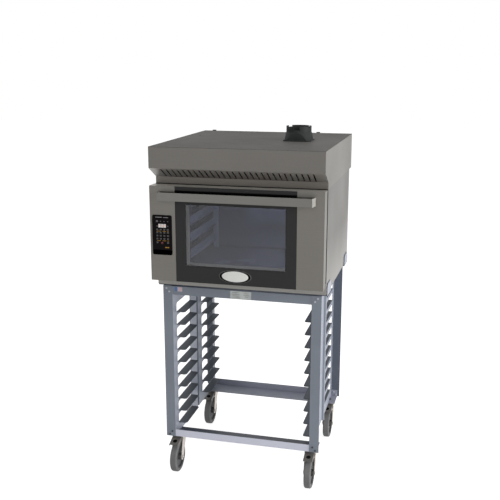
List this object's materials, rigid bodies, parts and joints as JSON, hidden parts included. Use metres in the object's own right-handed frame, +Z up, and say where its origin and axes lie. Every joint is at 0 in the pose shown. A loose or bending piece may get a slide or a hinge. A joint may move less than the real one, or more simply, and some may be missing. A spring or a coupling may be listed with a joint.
{
  "type": "convection oven on a mobile stand",
  "caption": "Electric convection oven with a drop-down glass door and a ventless hood, on a stand with pan slides and braked swivel casters.",
  "frame": {"origin": "on the floor, under the middle of the unit's overall length and width", "axes": "+X to the right as seen from the front, +Y from the door towards the back, +Z up"},
  "size_m": [0.808, 0.884, 1.6993],
  "materials": {
    "stainless": "vertically brushed stainless sheet",
    "inner_steel": "plain mill-finish stainless sheet",
    "stand_paint": "smooth blue-grey powder coat",
    "zinc": "bright zinc plate",
    "wheel_core": "moulded dark grey plastic",
    "wheel_rubber": "grey rubber tread",
    "pedal_paint": "dark satin paint",
    "black_plastic": "moulded black plastic",
    "panel_gloss": "gloss black touch panel",
    "dark_glass": "black-bordered toughened glass",
    "clear_glass": "clear toughened glass",
    "seal": "black silicone",
    "feet_rubber": "moulded rubber",
    "mineral_wool": "fibrous mineral wool",
    "motor_metal": "die-cast and painted",
    "element_metal": "heat-darkened tube",
    "board": "green circuit board",
    "brass": "machined brass"
  },
  "bodies": {
    "oven_and_stand": {"side_frame_left": "stand_paint", "side_frame_right": "stand_paint", "pan_slides_left": "stand_paint", "pan_slides_right": "stand_paint", "top_rails": "stand_paint", "bottom_rails": "stand_paint", "oven_retainers": "stand_paint", "stand_bolts": "zinc", "caster_mounts": "zinc", "oven_feet": "feet_rubber", "base_pan": "inner_steel", "casing_left": "stainless", "casing_right": "stainless", "casing_top": "stainless", "casing_back": "stainless", "front_frame": "stainless", "cavity_liner": "inner_steel", "insulation": "mineral_wool", "door_gasket": "seal", "tray_racks": "inner_steel", "fan_baffle": "inner_steel", "fan_motors": "motor_metal", "heating_elements": "element_metal", "steam_duct": "inner_steel", "power_board": "board", "water_inlet": "brass", "cable_gland": "black_plastic", "hinge_arms": "inner_steel", "hood_shell": "stainless", "hood_cover": "stainless", "hood_grille": "stainless", "hood_filter": "inner_steel", "hood_motor": "motor_metal", "vent_collar": "black_plastic"},
    "door": {"door_skin": "stainless", "door_outer_glass": "dark_glass", "door_inner_glass": "clear_glass", "door_inner_frame": "inner_steel", "door_handle": "stainless", "control_panel": "panel_gloss", "door_hinge_plates": "inner_steel"},
    "cavity_fan_left": {"fan_left": "inner_steel"},
    "cavity_fan_right": {"fan_right": "inner_steel"},
    "hood_fan_rotor": {"hood_fan": "inner_steel"},
    "caster_fl": {"caster_fork_fl": "zinc"},
    "wheel_fl": {"caster_hub_fl": "wheel_core", "caster_tyre_fl": "wheel_rubber"},
    "pedal_fl": {"brake_pedal_fl": "pedal_paint"},
    "caster_fr": {"caster_fork_fr": "zinc"},
    "wheel_fr": {"caster_hub_fr": "wheel_core", "caster_tyre_fr": "wheel_rubber"},
    "pedal_fr": {"brake_pedal_fr": "pedal_paint"},
    "caster_rl": {"caster_fork_rl": "zinc"},
    "wheel_rl": {"caster_hub_rl": "wheel_core", "caster_tyre_rl": "wheel_rubber"},
    "pedal_rl": {"brake_pedal_rl": "pedal_paint"},
    "caster_rr": {"caster_fork_rr": "zinc"},
    "wheel_rr": {"caster_hub_rr": "wheel_core", "caster_tyre_rr": "wheel_rubber"},
    "pedal_rr": {"brake_pedal_rr": "pedal_paint"}
  },
  "joints": [
    {"name": "door_hinge", "type": "hinge", "parent": "oven_and_stand", "child": "door", "pos_m": [0, -0.348, 1.032], "axis": [1, 0, 0], "range_deg": [0, 90]},
    {"name": "fan_left_spin", "type": "hinge", "parent": "oven_and_stand", "child": "cavity_fan_left", "pos_m": [-0.16, 0.19, 1.2353], "axis": [0, 1, 0], "continuous": true},
    {"name": "fan_right_spin", "type": "hinge", "parent": "oven_and_stand", "child": "cavity_fan_right", "pos_m": [0.16, 0.19, 1.2353], "axis": [0, 1, 0], "continuous": true},
    {"name": "hood_fan_spin", "type": "hinge", "parent": "oven_and_stand", "child": "hood_fan_rotor", "pos_m": [0.199, 0.028, 1.53], "axis": [0, 0, 1], "continuous": true},
    {"name": "swivel_fl", "type": "hinge", "parent": "oven_and_stand", "child": "caster_fl", "pos_m": [-0.334, -0.252, 0.18], "axis": [0, 0, 1], "continuous": true},
    {"name": "wheel_spin_fl", "type": "hinge", "parent": "caster_fl", "child": "wheel_fl", "pos_m": [-0.334, -0.291, 0.075], "axis": [1, 0, 0], "continuous": true},
    {"name": "brake_fl", "type": "hinge", "parent": "caster_fl", "child": "pedal_fl", "pos_m": [-0.334, -0.272, 0.163], "axis": [1, 0, 0], "range_deg": [0, 12]},
    {"name": "swivel_fr", "type": "hinge", "parent": "oven_and_stand", "child": "caster_fr", "pos_m": [0.334, -0.252, 0.18], "axis": [0, 0, 1], "continuous": true},
    {"name": "wheel_spin_fr", "type": "hinge", "parent": "caster_fr", "child": "wheel_fr", "pos_m": [0.334, -0.291, 0.075], "axis": [1, 0, 0], "continuous": true},
    {"name": "brake_fr", "type": "hinge", "parent": "caster_fr", "child": "pedal_fr", "pos_m": [0.334, -0.272, 0.163], "axis": [1, 0, 0], "range_deg": [0, 12]},
    {"name": "swivel_rl", "type": "hinge", "parent": "oven_and_stand", "child": "caster_rl", "pos_m": [-0.334, 0.31, 0.18], "axis": [0, 0, 1], "continuous": true},
    {"name": "wheel_spin_rl", "type": "hinge", "parent": "caster_rl", "child": "wheel_rl", "pos_m": [-0.334, 0.271, 0.075], "axis": [1, 0, 0], "continuous": true},
    {"name": "brake_rl", "type": "hinge", "parent": "caster_rl", "child": "pedal_rl", "pos_m": [-0.334, 0.29, 0.163], "axis": [1, 0, 0], "range_deg": [0, 12]},
    {"name": "swivel_rr", "type": "hinge", "parent": "oven_and_stand", "child": "caster_rr", "pos_m": [0.334, 0.31, 0.18], "axis": [0, 0, 1], "continuous": true},
    {"name": "wheel_spin_rr", "type": "hinge", "parent": "caster_rr", "child": "wheel_rr", "pos_m": [0.334, 0.271, 0.075], "axis": [1, 0, 0], "continuous": true},
    {"name": "brake_rr", "type": "hinge", "parent": "caster_rr", "child": "pedal_rr", "pos_m": [0.334, 0.29, 0.163], "axis": [1, 0, 0], "range_deg": [0, 12]}
  ]
}
